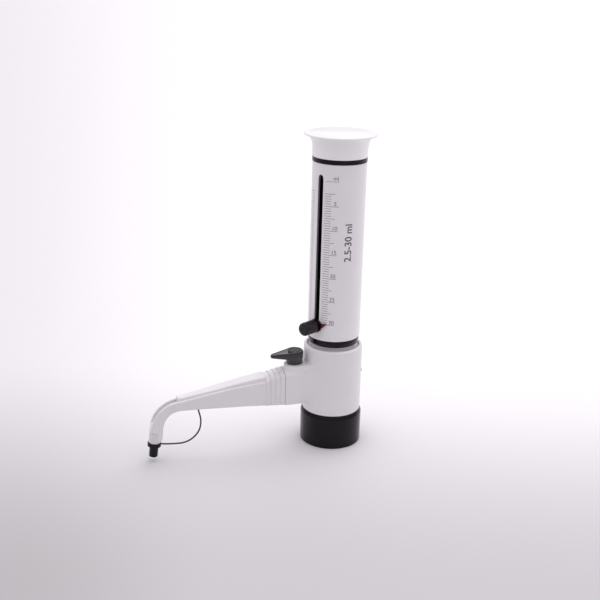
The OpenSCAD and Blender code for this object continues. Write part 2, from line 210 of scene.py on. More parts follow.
def ranged(tree, value, start, end, low, high, **settings):
    """Output that runs from low to high as the value runs from start to end."""
    span = {"From Min": start, "From Max": end, "To Min": low, "To Max": high, "Value": value}
    return add_node(tree, "MapRange", span, **settings).outputs["Result"]


def dot(tree, vector, other):
    """Output with the dot product of two vectors."""
    node = add_node(tree, "VectorMath", {0: vector, 1: other}, operation="DOT_PRODUCT")
    return node.outputs["Value"]


def scaled(tree, vector, factor):
    """Output with a vector or a colour times a factor."""
    node = add_node(tree, "VectorMath", {0: vector, "Scale": factor}, operation="SCALE")
    return node.outputs["Vector"]


# Sizes in millimetres of what shows on moulded plastic
CLOUD_SIZE = 22
GLOSS_SIZE = 9
GRAIN_DEPTH = 0.1
EDGE_HIGHLIGHT_WIDTH = 0.35

# How much paler the painted edge highlight makes an edge, and how far the gloss strays to either
# side
EDGE_HIGHLIGHT_PALER = 0.35
GLOSS_SPREAD = 0.15


def plastic(name, colour, roughness, grain=0.02, grain_size=0.5, cloud=0.03, worn=0.1, **extra):
    """Moulded plastic: faint clouds in its colour and gloss, a fine grain, and edges made paler by
    a painted highlight.
    The grain's size is in millimetres, and its strength is the bump's."""
    material = bpy.data.materials.new(name)
    material.use_nodes = True
    tree = material.node_tree
    shader = tree.nodes["Principled BSDF"]
    place = add_node(tree, "TexCoord", {}).outputs["Object"]

    def noise(size, detail):
        inputs = {"Scale": 1 / (size * MM), "Detail": detail, "Vector": place}
        return add_node(tree, "TexNoise", inputs).outputs["Fac"]

    def mixed(factor, a, b):
        inputs = {"Factor": factor, "A": a, "B": b}
        return add_node(tree, "Mix", inputs, data_type="RGBA").outputs["Result"]

    darker = (*(c * (1 - cloud) for c in colour), 1)
    lighter = (*(min(c * (1 + cloud), 1) for c in colour), 1)
    paler = (*(c + (1 - c) * EDGE_HIGHLIGHT_PALER for c in colour), 1)
    body = mixed(noise(CLOUD_SIZE, 3), darker, lighter)
    # Painted highlight: edges are paler where the rounded normal turns away from the face's own
    # normal
    edge = add_node(tree, "Bevel", {"Radius": EDGE_HIGHLIGHT_WIDTH * MM}, samples=4)
    flat = add_node(tree, "NewGeometry", {})
    bend = dot(tree, edge.outputs["Normal"], flat.outputs["Normal"])
    highlight = ranged(tree, bend, start=0.99, end=0.8, low=0, high=worn)
    feed(tree, shader.inputs["Base Color"], mixed(highlight, body, paler))
    glossy, dull = roughness * (1 - GLOSS_SPREAD), roughness * (1 + GLOSS_SPREAD)
    gloss = ranged(tree, noise(GLOSS_SIZE, 4), 0, 1, glossy, dull)
    feed(tree, shader.inputs["Roughness"], gloss)
    relief = {"Strength": grain, "Distance": GRAIN_DEPTH * MM, "Height": noise(grain_size, 2)}
    bump = add_node(tree, "Bump", relief)
    feed(tree, shader.inputs["Normal"], bump.outputs["Normal"])
    for socket, value in extra.items():
        feed(tree, shader.inputs[socket.replace("_", " ")], value)
    return material


# Blacks mirror the studio with a faint purple tint
PURPLISH = (1, 0.93, 1, 1)

LOOKS = {
    "white_cap_plastic": dict(colour=(0.98, 0.955, 0.985), roughness=0.31, grain=0.015),
    "sleeve_plastic": dict(colour=(0.87, 0.84, 0.875), roughness=0.32, grain=0.012),
    "housing_plastic": dict(
        colour=(0.82, 0.79, 0.825), roughness=0.34, grain=0.05, grain_size=0.35
    ),
    "black_plastic": dict(
        colour=(0.004, 0.0032, 0.0044), roughness=0.1, grain=0.01, worn=0.03,
        Specular_IOR_Level=0.24, Specular_Tint=PURPLISH,
    ),
    "lever_black": dict(
        colour=(0.006, 0.005, 0.0065), roughness=0.12, worn=0.04,
        Specular_IOR_Level=0.35, Specular_Tint=PURPLISH, Coat_Weight=1.0, Coat_Roughness=0.08,
    ),
    "knob_black": dict(
        colour=(0.014, 0.012, 0.015), roughness=0.32, grain=0.03, worn=0.04,
        Specular_IOR_Level=0.3, Specular_Tint=PURPLISH,
    ),
    "vent_black": dict(colour=(0.012, 0.011, 0.013), roughness=0.7, Specular_IOR_Level=0.1),
    "pointer_red": dict(colour=(0.32, 0.025, 0.045), roughness=0.2, Transmission_Weight=0.25),
    "slot_shade": dict(colour=(0.20, 0.19, 0.21), roughness=0.3),
    "neck_grey": dict(colour=(0.72, 0.70, 0.73), roughness=0.5, grain=0.03),
    "lever_disc_grey": dict(
        colour=(0.028, 0.025, 0.03), roughness=0.4, grain=0.06, Specular_IOR_Level=0.3
    ),
    "fluoropolymer": dict(colour=(0.72, 0.72, 0.70), roughness=0.35, grain=0.03),
    "clear_tube": dict(colour=(0.70, 0.74, 0.76), roughness=0.25, Transmission_Weight=0.5),
    "tip_plastic": dict(colour=(0.80, 0.79, 0.80), roughness=0.31, Transmission_Weight=0.1),
    "measuring_glass": dict(
        colour=(0.90, 0.95, 0.94), roughness=0.05, grain=0.005, Transmission_Weight=0.9
    ),
    "ceramic_ball": dict(colour=(0.55, 0.60, 0.60), roughness=0.15),
    "seal_rubber": dict(colour=(0.30, 0.30, 0.29), roughness=0.6, grain=0.1),
    "cord_black": dict(colour=(0.03, 0.03, 0.035), roughness=0.45, grain=0.05, grain_size=0.3),
    "stainless": dict(colour=(0.62, 0.62, 0.62), roughness=0.25, grain=0.03, Metallic=1.0),
    "scale_ink": dict(colour=(0.10, 0.095, 0.11), roughness=0.5, worn=0.0),
}
MATERIALS = {name: plastic(name, **look) for name, look in LOOKS.items()}


def recoloured(made, name):
    """Gives a piece another material than its slot's."""
    made.data.materials.clear()
    made.data.materials.append(MATERIALS[name])


def painted_shade_near(material, point, near, far, least):
    """Paints shade into a material's colour within a distance of a point, in millimetres."""
    tree = material.node_tree
    base = tree.nodes["Principled BSDF"].inputs["Base Color"]
    colour = base.links[0].from_socket
    place = add_node(tree, "TexCoord", {}).outputs["Object"]
    away = add_node(tree, "VectorMath", {0: place, 1: point * MM}, operation="DISTANCE")
    fade = ranged(tree, away.outputs["Value"], near * MM, far * MM, least, 1)
    feed(tree, base, scaled(tree, colour, fade))


# ---- frames of the arm, the lever, the pointer and the nozzle ----

ARM = Matrix.Rotation(math.pi, 4, "Z")

disc_low, disc_high = box("lever_cap_disc")
spindle_x = -(disc_low.x + disc_high.x) / 2
SPINDLE = ARM @ Matrix.Translation((spindle_x, 0, 0))

slot_axis = Vector(joint("knob_turn")["axis"])
slot_azimuth = math.degrees(math.atan2(slot_axis.y, slot_axis.x))
index_low, index_high = box("index_tongue")
index_z = (index_low.z + index_high.z) / 2
# The knob's frame has Z outwards along the knob's axis, from the sleeve's axis
KNOB = (
    Matrix.Rotation(math.radians(slot_azimuth), 4, "Z")
    @ Matrix.Translation((0, 0, index_z))
    @ Matrix.Rotation(math.radians(90), 4, "Y")
)

# The nozzle's frame has Z back up the nozzle, from the end of the spout's bend
TIP_START = 3.6
TIP_END = 13.4
TIP_R = 5
pull_axis = Vector(joint("closure_pull")["axis"])
nozzle_tilt = math.atan2(-pull_axis.x, -pull_axis.z)
tip_low, tip_high = box("nozzle_tip")
nozzle_x = -tip_low.x - TIP_END * math.sin(nozzle_tilt) - TIP_R * math.cos(nozzle_tilt)
nozzle_z = tip_high.z + TIP_START * math.cos(nozzle_tilt) - TIP_R * math.sin(nozzle_tilt)
NOZZLE = (
    ARM @ Matrix.Translation((nozzle_x, 0, nozzle_z)) @ Matrix.Rotation(-nozzle_tilt, 4, "Y")
)


# ---- collar with its thread ----


def collar():
    """Turned collar with a bevelled top, and a bottle thread inside it."""
    corner = box("threaded_collar")[1]
    r, top = corner.x, corner.z
    seat = box("bottle_seal")[0].z
    bore, crest, lip = r - 4.1, r - 5.6, 19
    pitch, lead = 4, 2.5
    steps, levels = 144, 60
    thread_top = seat - 0.4
    relief = bore + 0.6
    inside = rounded([
        (lip, top, 0.3), (lip, top - 6.5, 0.2), (relief, top - 6.5, 0.3),
        (relief, thread_top, 0.2), (bore, thread_top, 0),
    ])
    outside = rounded([
        (bore, 0, 0), (r, 0, 0.9), (r, top - 3, 1.2), (r - 1.2, top, 0.5), (lip, top, 0),
    ])
    rings = []
    for i in range(steps):
        turn = i / steps
        a = 2 * math.pi * turn
        wall = []
        for k in range(levels + 1):
            z = thread_top * (1 - k / levels)
            phase = (z / pitch - turn) % 1
            ridge = max(0.0, 1 - abs(phase - 0.5) * 4) ** 0.6
            fade = min(1.0, max(0.0, (z - 1) / lead), max(0.0, (thread_top - 1 - z) / lead))
            wall.append((bore - (bore - crest) * ridge * fade, z))
        outline = inside[:-1] + wall + outside[1:-1]
        rings.append([(p * math.cos(a), p * math.sin(a), z) for p, z in outline])
    piece("collar_shell", [skin(rings, loop=True)], "collar", "black_plastic", ["threaded_collar"])


# ---- valve block: turned shell, filleted arm and the lever's boss ----

block_low, block_high = box("valve_block_housing")
block_r = block_high.x
block_top = block_high.z
NECK_H = 9.9
block_z = block_low.z + NECK_H

# Levels above the housing's foot
ARM_LOW = 9.2
ARM_EDGE = 38
BOSS_TOP = 44.7
arm_low_z = block_z + ARM_LOW
arm_edge_z = block_z + ARM_EDGE
boss_z = block_z + BOSS_TOP
arm_half_w = 10
arm_crown = 3.6
boss_r = 9.4
seam_x = -block_low.x


def arm_top(y, half_w, edge, crest):
    """Level of a crowned top at a distance from the arm's middle plane."""
    return edge + (crest - edge) * (1 - (y / half_w) ** 2)


def arm_sides(half_w, low, edge):
    """Half outline from the middle of the underside, up the side, to its top edge."""
    corner, brow = 1.4, 1.0
    return (
        [(0, low), (half_w * 0.5, low)]
        + arc(half_w - corner, low + corner, corner, -90, 0, 5)
        + [(half_w, low + (edge - low) * share) for share in (0.35, 0.7)]
        + arc(half_w - brow, edge - brow, brow, 0, 65, 4)
    )


def crowned(half_w, low, edge, crest):
    """Outline of the arm with a crowned top."""
    top = []
    for k in range(13):
        y = (half_w - 0.9) * (1 - k / 12)
        top.append((y, arm_top(y, half_w, edge, crest)))
    return mirrored(arm_sides(half_w, low, edge) + top)


def ribbed(half_w, low, edge, crest):
    """Outline of the spout with a raised round-shouldered rib along its top."""
    rib = half_w - 1.7
    shoulder = min(1.7, 0.45 * (crest - edge))
    side = crest - 0.3
    top = [(half_w - 0.9, edge), (rib + 0.5, edge + 0.25)]
    top += [(rib + 0.1, edge + 0.45), (rib, edge + 0.9)]
    top += arc(rib - shoulder, side - shoulder, shoulder, 5, 78, 5)
    top += [(rib * 0.5, crest - 0.12), (rib * 0.25, crest - 0.03), (0, crest)]
    return mirrored(arm_sides(half_w, low, edge) + top)


def channelled(half_w, low, edge, depth):
    """Outline of the bend with an open channel in its outer side."""
    half = 2.8
    bottom = edge - depth
    brink = edge - 0.5
    wall = max(depth - 1.1, 0)
    top = [(half_w - 0.9, edge), (half + 0.6, edge), (half + 0.15, edge - 0.12), (half, brink)]
    top += [(half, brink - wall * k / 5) for k in range(6)]
    top += [(half * 0.8, bottom), (half * 0.4, bottom), (0, bottom)]
    return mirrored(arm_sides(half_w, low, edge) + top)


def normals(outline):
    """Outward unit normals of a closed outline that runs anticlockwise."""
    found = []
    for i in range(len(outline)):
        a, b = outline[i - 1], outline[(i + 1) % len(outline)]
        along = Vector((b[0] - a[0], b[1] - a[1])).normalized()
        found.append((along.y, -along.x))
    return found


def bezier(a, b, c, t):
    """Point of the curve from a to c that leaves and arrives towards b."""
    return (1 - t) ** 2 * a + 2 * t * (1 - t) * b + t**2 * c


def filleted(outline_at, end_x, side_reach):
    """Beam along the arm, from its end to a soft fillet on the round housing.
    The outline is a function of its inset, and the fillet reaches further at the sides."""
    rings = []
    for x, inset in ((end_x, 0.35), (end_x - 0.1, 0.1), (end_x - 0.35, 0)):
        rings.append(upright(outline_at(inset), x))
    outline = outline_at(0)
    curves = []
    for (y, z), (ny, nz) in zip(outline, normals(outline)):
        reach = 1.5 + side_reach * ny**2
        wide = y + ny * reach
        a = math.asin(wide / block_r)
        start = Vector((math.sqrt(block_r**2 - y**2) + reach, y, z))
        corner = Vector(((block_r - y * math.sin(a)) / math.cos(a), y, z))
        end = Vector((block_r * math.cos(a), wide, z + nz * reach))
        sunk = Vector(((block_r - 1) * math.cos(a), (block_r - 1) * math.sin(a), end.z))
        curves.append((start, corner, end, sunk))
    for k in range(13):
        rings.append([tuple(bezier(a, b, c, k / 12)) for a, b, c, _ in curves])
    rings.append([tuple(sunk) for *_, sunk in curves])
    return skin(rings)


def arm_beam():
    """The block's arm, with its crowned top."""

    def outline_at(inset):
        edge = arm_edge_z - inset
        return crowned(arm_half_w - inset, arm_low_z + inset, edge, edge + arm_crown)

    return filleted(outline_at, seam_x, 7)


def boss_beam():
    """Raised stretch that joins the lever's boss to the housing."""

    def outline_at(inset):
        top = boss_z - 0.01
        return crowned(boss_r - inset, arm_edge_z - 6, top - 0.5, top)

    return filleted(outline_at, spindle_x + 0.5, 5)


def lever_boss():
    """Round boss under the lever, which flares out on to the arm's crowned top."""
    r = boss_r
    crest = arm_edge_z + arm_crown
    rings = []
    for inset, drop in ((9.3, 0), (0.7, 0), (0.25, 0.15), (0, 0.6)):
        circle = arc(0, 0, r - inset, 0, 360, 96)[:-1]
        rings.append([(spindle_x + x, y, boss_z - drop) for x, y in circle])
    curves = []
    for x, y in arc(0, 0, 1, 0, 360, 96)[:-1]:
        reach = 1.6 - 1.2 * y**2
        wide = r + reach
        start = Vector((r * x, r * y, arm_top(r * y, arm_half_w, arm_edge_z, crest) + reach))
        corner = Vector((r * x, r * y, start.z - reach))
        end_z = arm_top(wide * y, arm_half_w, arm_edge_z, crest)
        end = Vector((wide * x, wide * y, end_z - 0.02))
        curves.append((start, corner, end))
    for k in range(7):
        ring = [bezier(a, b, c, k / 6) for a, b, c in curves]
        rings.append([(spindle_x + p.x, p.y, p.z) for p in ring])
    rings.append([(spindle_x + c.x, c.y, c.z - 2) for *_, c in curves])
    return skin(rings)


def valve_block():
    """Round housing with a rolled rim, a recess and its neck, joined to the arm and the boss."""
    neck_low = block_low.z
    neck_r, bore_r, cavity_r = 18.9, 13, block_r - 3.05
    groove_low, groove_r = neck_low + 1.45, neck_r - 1.4
    groove_high = groove_low + 1.6
    ledge = block_z + 3.2
    shell = rounded([
        (bore_r, neck_low, 0.3), (neck_r, neck_low, 0.4), (neck_r, groove_low, 0),
        (groove_r, groove_low, 0), (groove_r, groove_high, 0), (neck_r, groove_high, 0),
        (neck_r, block_z, 0.2), (block_r, block_z, 0.6), (block_r, block_top, 2.2),
        (cavity_r, block_top, 0.8), (cavity_r, ledge, 0), (bore_r, ledge, 0),
    ], 8)
    arm = [moved(shape, ARM) for shape in (arm_beam(), boss_beam(), lever_boss())]
    shapes = [lathe(shell, 192)] + arm
    piece("valve_block_shell", shapes, "base", "housing_plastic", ["valve_block_housing"], 40)


# ---- spout, nozzle and tether ----

# One grip step, as distances along it and insets
GRIP_STEPS = 4
GRIP_PITCH = 4.3
GRIP_PROFILE = (
    (0, 0.35), (0.25, 0.35), (0.3, 0.15), (0.5, 0),
    (3.5, 0), (3.7, 0.15), (3.75, 0.35), (GRIP_PITCH, 0.35),
)
spout_x0 = seam_x + GRIP_STEPS * GRIP_PITCH + 0.1

# The bend's outer side is an arc that ends where the nozzle starts
bend_r = 21.2
bend_x = nozzle_x - bend_r * math.cos(nozzle_tilt)
bend_z = nozzle_z - bend_r * math.sin(nozzle_tilt)

# The spout's taper at distances along the arm, and the bend's inner radius at its angles
SPOUT_STATIONS = (64, 84, 103, 124, 137.5)
SPOUT_HALF_W = (9, 8.1, 7.4, 6.3, 5.5)
SPOUT_LOW = (41.8, 43.0, 43.9, 44.6, 44.9)
SPOUT_EDGE = (63.9, 62.0, 59.6, 55.9, 53.5)
SPOUT_CREST = (68.6, 65.7, 62.2, 58.7, 56.6)
BEND_ANGLES = (6, 25, 45, 65, 90)
BEND_INNER = (15.5, 15.8, 16.3, 16.7, 16.9)
CHANNEL_DEPTH = 3.4


def spout_size(x):
    """Half width, low edge, top edge and crest of the spout at a distance."""
    rows = (SPOUT_HALF_W, SPOUT_LOW, SPOUT_EDGE, SPOUT_CREST)
    return [spline(SPOUT_STATIONS, row, x) for row in rows]


def upright(outline, x):
    """The outline in the plane across the arm at a distance."""
    return [(x, y, z) for y, z in outline]


def on_bend(outline, angle):
    """The outline in a plane through the bend's centre. Its levels are those at the bend's top."""
    a = math.radians(angle)
    ring = []
    for y, z in outline:
        reach = z - bend_z
        ring.append((bend_x + reach * math.cos(a), y, bend_z + reach * math.sin(a)))
    return ring


def on_nozzle(outline, down):
    """The outline across the nozzle, some way down from the bend's end."""
    ring = on_bend(outline, math.degrees(nozzle_tilt))
    shift = Vector((math.sin(nozzle_tilt), 0, -math.cos(nozzle_tilt))) * down
    return [tuple(Vector(p) + shift) for p in ring]


def grip_rings():
    """Rings of the grip steps next to the seam. Each step is a little smaller than the last."""
    rings = []
    for i in range(GRIP_STEPS):
        x0 = seam_x + 0.3 + GRIP_PITCH * i
        for dx, inset in GRIP_PROFILE:
            half_w = arm_half_w - 0.25 * i - inset
            low = arm_low_z + 0.8 + 0.2 * i + inset
            edge = arm_edge_z - 0.5 - i - inset
            rings.append(upright(crowned(half_w, low, edge, edge + arm_crown), x0 + dx))
    return rings


def spout():
    """Spout shell in one skin: grip steps, ribbed taper, channelled bend and its skirt."""
    rings = grip_rings()
    for k in range(15):
        x = spout_x0 + (bend_x - spout_x0) * k / 14
        rings.append(upright(ribbed(*spout_size(x)), x))
    half_w, low, edge, crest = spout_size(bend_x)
    for angle, drop in ((86, 0), (85.2, 0.3), (84.6, 1.2)):
        rings.append(on_bend(ribbed(half_w, low, edge, crest - drop), angle))
    rings.append(on_bend(channelled(half_w, low, edge, CHANNEL_DEPTH), 84))
    for k in range(1, 17):
        angle = 84 - 70 * k / 16
        width = half_w - 0.7 * min(1, k / 5)
        inner = bend_z + spline(BEND_ANGLES, BEND_INNER, angle)
        depth = CHANNEL_DEPTH * min(1, (angle - 11.5) / 12)
        rings.append(on_bend(channelled(width, inner, edge, depth), angle))
    inner = bend_z + BEND_INNER[0]
    foot = crowned(half_w - 0.7, inner, edge - 0.3, edge)
    rings += [on_bend(foot, 13.2), on_bend(foot, 6), on_nozzle(foot, 3.2)]
    side = TIP_R + 0.3
    skirt = bend_z + bend_r - 1.2
    for down, lift in ((3.5, 0), (8.5, 0), (10.5, 0.4), (11.8, 1.4), (12.6, 2.6)):
        rings.append(on_nozzle(crowned(side - lift / 8, inner + lift, skirt, skirt + 0.3), down))
    plug_end = 0.1 - TIP_START
    plug = rounded([(0, 0.6, 0), (4.9, 0.6, 0.8), (5.2, plug_end, 0.4), (0, plug_end, 0)])
    shapes = [moved(skin(rings), ARM), moved(lathe(plug), NOZZLE)]
    piece("spout_shell", shapes, "base", "housing_plastic", ["discharge_housing"], 38)


def nozzle():
    """Ferrule with its spigot, and the cap that closes it."""
    tube, spigot = 1.75, 2.6
    end = -TIP_END - 5.6
    ferrule = rounded([
        (tube, -TIP_START, 0), (TIP_R, -TIP_START, 0.5), (TIP_R, -TIP_END, 0.5),
        (spigot, -TIP_END, 0.3), (spigot, end, 0.3), (tube, end, 0),
    ])
    piece("ferrule", [moved(lathe(ferrule, 96), NOZZLE)], "base", "tip_plastic", ["nozzle_tip"])
    bore = spigot + 0.05
    top = -TIP_END - 0.1
    flange = top - 3.3
    foot = -TIP_END - 12.9
    cap = rounded([
        (bore, top, 0.2), (5.8, top, 0.5), (5.8, flange, 0.5), (3.9, flange, 0.4),
        (3.7, foot, 0.7), (0, foot, 0), (0, end - 1, 0), (bore, end - 1, 0),
    ])
    shape = moved(lathe(cap, 96), NOZZLE)
    piece("closure_shell", [shape], "closure", "black_plastic", ["closure_cap"])


# The cord's bow: distances along the arm, and levels
TETHER_X = (122.2, 121.6, 119.5, 121.1, 126.5, 133.6, 142.3, 151.0, 154.6)
TETHER_Z = (45.5, 42.1, 31.9, 22.6, 16.2, 13.0, 12.9, 13.9, 14.6)
CORD_R = 0.7


def tether():
    """Cord that hangs in a bow from the spout to the closure cap."""
    lengths = [0.0]
    knots = list(zip(TETHER_X, TETHER_Z))
    for a, b in zip(knots, knots[1:]):
        lengths.append(lengths[-1] + math.dist(a, b))
    steps = 64
    middle = []
    for k in range(steps + 1):
        s = lengths[-1] * k / steps
        middle.append(Vector((spline(lengths, TETHER_X, s), 0, spline(lengths, TETHER_Z, s))))
    circle = arc(0, 0, CORD_R, 0, 360, 12)[:-1]
    side = Vector((0, 1, 0))
    rings = []
    for k, point in enumerate(middle):
        along = (middle[min(k + 1, steps)] - middle[max(k - 1, 0)]).normalized()
        up = along.cross(side)
        rings.append([tuple(point + side * y + up * z) for y, z in circle])
    made = piece("tether_cord", [moved(skin(rings), ARM)], "base", "cord_black", ["cap_tether"])
    made.parent = None  # unparented, so the cord follows no body
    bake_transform(made)


# ---- lever ----

LEVER_TIP_R = 2.4
RIBS = 40
RIB_DEPTHS = (0, 0.22, 0.22, 0)
HUB_R = 6.95


def lever_outline(inset, steps=24):
    """Plan of the lever: a round hub that runs out to a rounded tip, drawn smaller by an inset."""
    low, high = box("valve_lever")
    hub, tip = high.y, LEVER_TIP_R
    tip_x = -low.x - spindle_x - tip
    slope = math.degrees(math.asin((hub - tip) / tip_x))
    half = arc(tip_x, 0, tip - min(inset, tip - 0.2), 0, 90 - slope, steps)
    half += arc(0, 0, hub - inset, 90 - slope, 180, steps)
    return half + [(x, -y) for x, y in reversed(half[1:-1])]


def sloped(x, x0, x1, z0, z1):
    """Level that runs from z0 at x0 to z1 at x1, and is z0 before x0."""
    return z0 + max(0.0, x - x0) * (z1 - z0) / (x1 - x0)


def lever_blade():
    """Lever's blade, thinner towards its tip, with a raised rim round a sunk face."""
    low, high = box("valve_lever")
    top, foot = high.z, low.z
    reach = -low.x - spindle_x
    rings = []
    for inset, lift in ((7, 0), (0.9, 0), (0.3, 0.2), (0, 0.8)):
        ring = []
        for x, y in lever_outline(inset):
            ring.append((x, y, sloped(x, 6, reach, foot + 4.4, foot + 6.6) + lift))
        rings.append(ring)
    rim = ((0, 1.1), (0.3, 0.35), (0.8, 0), (1.3, 0.05), (1.6, 0.45), (2.1, 0.6), (7, 0.6))
    for inset, drop in rim:
        ring = []
        for x, y in lever_outline(inset):
            ring.append((x, y, sloped(x, 4, reach, top, foot + 9.4) - drop))
        rings.append(ring)
    return skin(rings)


def lever_hub():
    """Ribbed hub under the lever's blade."""
    foot = box("valve_lever")[0].z
    rings = []
    for lift, inset in ((0, 0.5), (0.3, 0.1), (0.6, 0), (4.8, 0)):
        ring = []
        for k in range(RIBS * 4):
            a = 2 * math.pi * k / (RIBS * 4)
            radius = HUB_R - inset - RIB_DEPTHS[k % 4]
            ring.append((radius * math.cos(a), radius * math.sin(a), foot + lift))
        rings.append(ring)
    return skin(rings)


def lever():
    """Lever, and the grooved disc that covers its screw."""
    shapes = [moved(lever_blade(), SPINDLE), moved(lever_hub(), SPINDLE)]
    piece("lever_shell", shapes, "lever", "lever_black", ["valve_lever"])
    z1 = disc_high.z
    z0, groove = z1 - 1.2, z1 - 0.25
    disc = rounded([
        (0, z0, 0), (5.95, z0, 0), (5.95, z1 - 0.1, 0.3), (4.9, z1, 0),
        (4.75, groove, 0), (4.5, groove, 0), (4.35, z1, 0), (0, z1, 0),
    ])
    cap = moved(lathe(disc, 96), SPINDLE)
    piece("lever_disc", [cap], "lever", "lever_disc_grey", ["lever_cap_disc"])


# ---- barrel, guard, rings and plunger ----


def turned(name, corners, body, slot, nodes):
    """Turned piece of corners (radius, z, rounding)."""
    piece(name, [lathe(rounded(corners), 160)], body, slot, nodes)


def barrel_parts():
    """Guard tube and the ring at its foot."""
    low, high = box("guard_tube")
    bore, r, flange = 16, 17.5, low.z + 2
    turned("guard_tube_shell", [
        (bore, low.z, 0), (high.x, low.z, 0.2), (high.x, flange, 0.2), (r, flange, 0.2),
        (r, high.z, 0.4), (bore, high.z, 0.4),
    ], "base", "black_plastic", ["guard_tube"])
    low, high = box("guard_ring")
    recess_r, inner_r, step = 19.05, 17.6, low.z + 3.6
    turned("guard_ring_shell", [
        (recess_r, low.z, 0.2), (21.3, low.z, 0.5), (22.1, low.z + 2.8, 0.8),
        (high.x, high.z, 0.35), (inner_r, high.z, 0.2), (inner_r, step, 0), (recess_r, step, 0),
    ], "base", "black_plastic", ["guard_ring"])


def plunger_cap():
    """Flared cap with a rolled rim round a slightly raised top."""
    low, high = box("plunger_cap")
    ring_high = box("sleeve_ring")[1]
    wall = ring_high.x + 0.15
    bore = wall - 2.6
    spigot = bore - 2
    rim, top, z0 = high.x, high.z, ring_high.z + 0.04
    bead = 0.95
    lip = top - 0.5
    flare_low, flare_high = z0 + 7, lip - 1.8 * bead
    flare = []
    for k in range(12):
        a = math.pi / 2 * k / 12
        reach = (rim - bead - wall) * (1 - math.cos(a))
        flare.append((wall + reach, flare_low + (flare_high - flare_low) * math.sin(a)))
    foot = rounded([(spigot, low.z, 0.2), (bore, low.z, 0.3), (bore, z0, 0), (wall, z0, 0.4)])
    rolled = arc(rim - bead, lip - bead, bead, -75, 90, 10)
    disc_r = rim - 5
    lid = [(disc_r + 0.3, lip), (disc_r, lip + 0.2), (disc_r - 0.2, top - 0.15)]
    lid += [(disc_r - 0.5, top), (0, top)]
    inside = [(0, top - 4), (spigot, top - 4)]
    cup = lathe(foot + flare + rolled + lid + inside, 192)
    rod_r, socket_r, socket_low, socket_high = 4.1, 7.5, z0 - 6, top - 3.5
    socket = rounded([
        (rod_r, socket_low, 0), (socket_r, socket_low, 0.3), (socket_r, socket_high, 0),
        (rod_r, socket_high, 0),
    ])
    shapes = [cup, lathe(socket, 64)]
    piece("plunger_cap_shell", shapes, "plunger", "white_cap_plastic", ["plunger_cap"])


def sleeve_band():
    """Black ring between the sleeve and the cap."""
    low, high = box("sleeve_ring")
    inner_r = high.x - 2.35
    turned("sleeve_band", [
        (inner_r, low.z, 0.2), (high.x, low.z, 0.3), (high.x, high.z, 0.3),
        (inner_r, high.z, 0.2),
    ], "plunger", "black_plastic", ["sleeve_ring"])


# ---- scale sleeve with its slot and its print ----

sleeve_low, sleeve_high = box("scale_sleeve")
sleeve_r = sleeve_high.x
SLEEVE_WALL = 2
SLOT_W = 5
SLOT_FOOT = 12.4
SLOT_LENGTH = 128.1
slot_low_z = sleeve_low.z + SLOT_FOOT
slot_high_z = slot_low_z + SLOT_LENGTH


def slotted_tube():
    """Tube with a long round-ended slot, drawn as columns round the axis.
    A column has points at the tube's foot, the slot's two ends and the tube's top."""
    half = math.degrees(SLOT_W / 2 / sleeve_r)
    across, around = 12, 150
    columns = [-half * math.cos(math.pi * k / across) for k in range(across + 1)]
    columns += [half + (360 - 2 * half) * k / around for k in range(1, around)]
    count = len(columns)
    points = []
    for radius in (sleeve_r, sleeve_r - SLEEVE_WALL):
        for angle in columns:
            y = math.radians(angle) * sleeve_r
            dip = math.sqrt(max(0.0, (SLOT_W / 2) ** 2 - y * y)) if angle <= half else 0.0
            a = math.radians(slot_azimuth + angle)
            for z in (sleeve_low.z, slot_low_z - dip, slot_high_z + dip, sleeve_high.z):
                points.append((radius * math.cos(a), radius * math.sin(a), z))
    inner = count * 4
    faces = []
    for i in range(count):
        a, b = i * 4, (i + 1) % count * 4
        in_slot = i < across
        for row in (0, 2) if in_slot else (0, 1, 2):
            for side in (0, inner):
                c, d = a + row + side, b + row + side
                faces.append((c, d, d + 1, c + 1))
        for row in (0, 1, 2, 3) if in_slot else (0, 3):
            c, d = a + row, b + row
            faces.append((c, d, d + inner, c + inner))
    for a in (0, across * 4):
        faces.append((a + 1, a + 2, a + 2 + inner, a + 1 + inner))
    return points, faces


def sleeve():
    """Scale sleeve with rounded edges, and shaded walls in its slot."""
    made = piece(
        "scale_sleeve_shell", [slotted_tube()], "plunger", "sleeve_plastic", ["scale_sleeve"]
    )
    bevel = made.modifiers.new("edges", "BEVEL")
    bevel.width = 0.35 * MM
    bevel.segments = 3
    bevel.limit_method = "ANGLE"
    bevel.angle_limit = math.radians(50)
    bevel.harden_normals = True
    made.data.materials.append(MATERIALS["slot_shade"])
    for face in made.data.polygons:
        middle = face.center / MM
        depth = sleeve_r - middle.xy.length
        within_wall = 0.3 < depth < SLEEVE_WALL - 0.3
        if within_wall and slot_low_z - SLOT_W < middle.z < slot_high_z + SLOT_W:
            face.material_index = 1


CAPACITY_ML = 30
ML_PITCH = 4.12
INK_SUNK = -0.06
INK_PROUD = 0.03
LETTER_CUT = 0.6
RANGE_Z = 187

# Azimuths of the print, in degrees from the slot
LINE_START = 12
LINE_END = {"short": 26.5, "medium": 34.5, "long": 42}
LEFT_START = -19
LEFT_LENGTH = {"short": 9, "medium": 13, "long": 17}
NUMBERS_AT = 35
RANGE_AT = 66.5


def printed_line(azimuth0, azimuth1, z, width=0.32):
    """Printed line round the sleeve between two azimuths from the slot."""
    rings = []
    steps = max(2, int(abs(azimuth1 - azimuth0) / 2.5))
    for k in range(steps + 1):
        a = math.radians(slot_azimuth + azimuth0 + (azimuth1 - azimuth0) * k / steps)
        ring = []
        for out, up in ((INK_SUNK, -1), (INK_PROUD, -1), (INK_PROUD, 1), (INK_SUNK, 1)):
            r = sleeve_r + out
            ring.append((r * math.cos(a), r * math.sin(a), z + up * width / 2))
        rings.append(ring)
    return skin(rings)


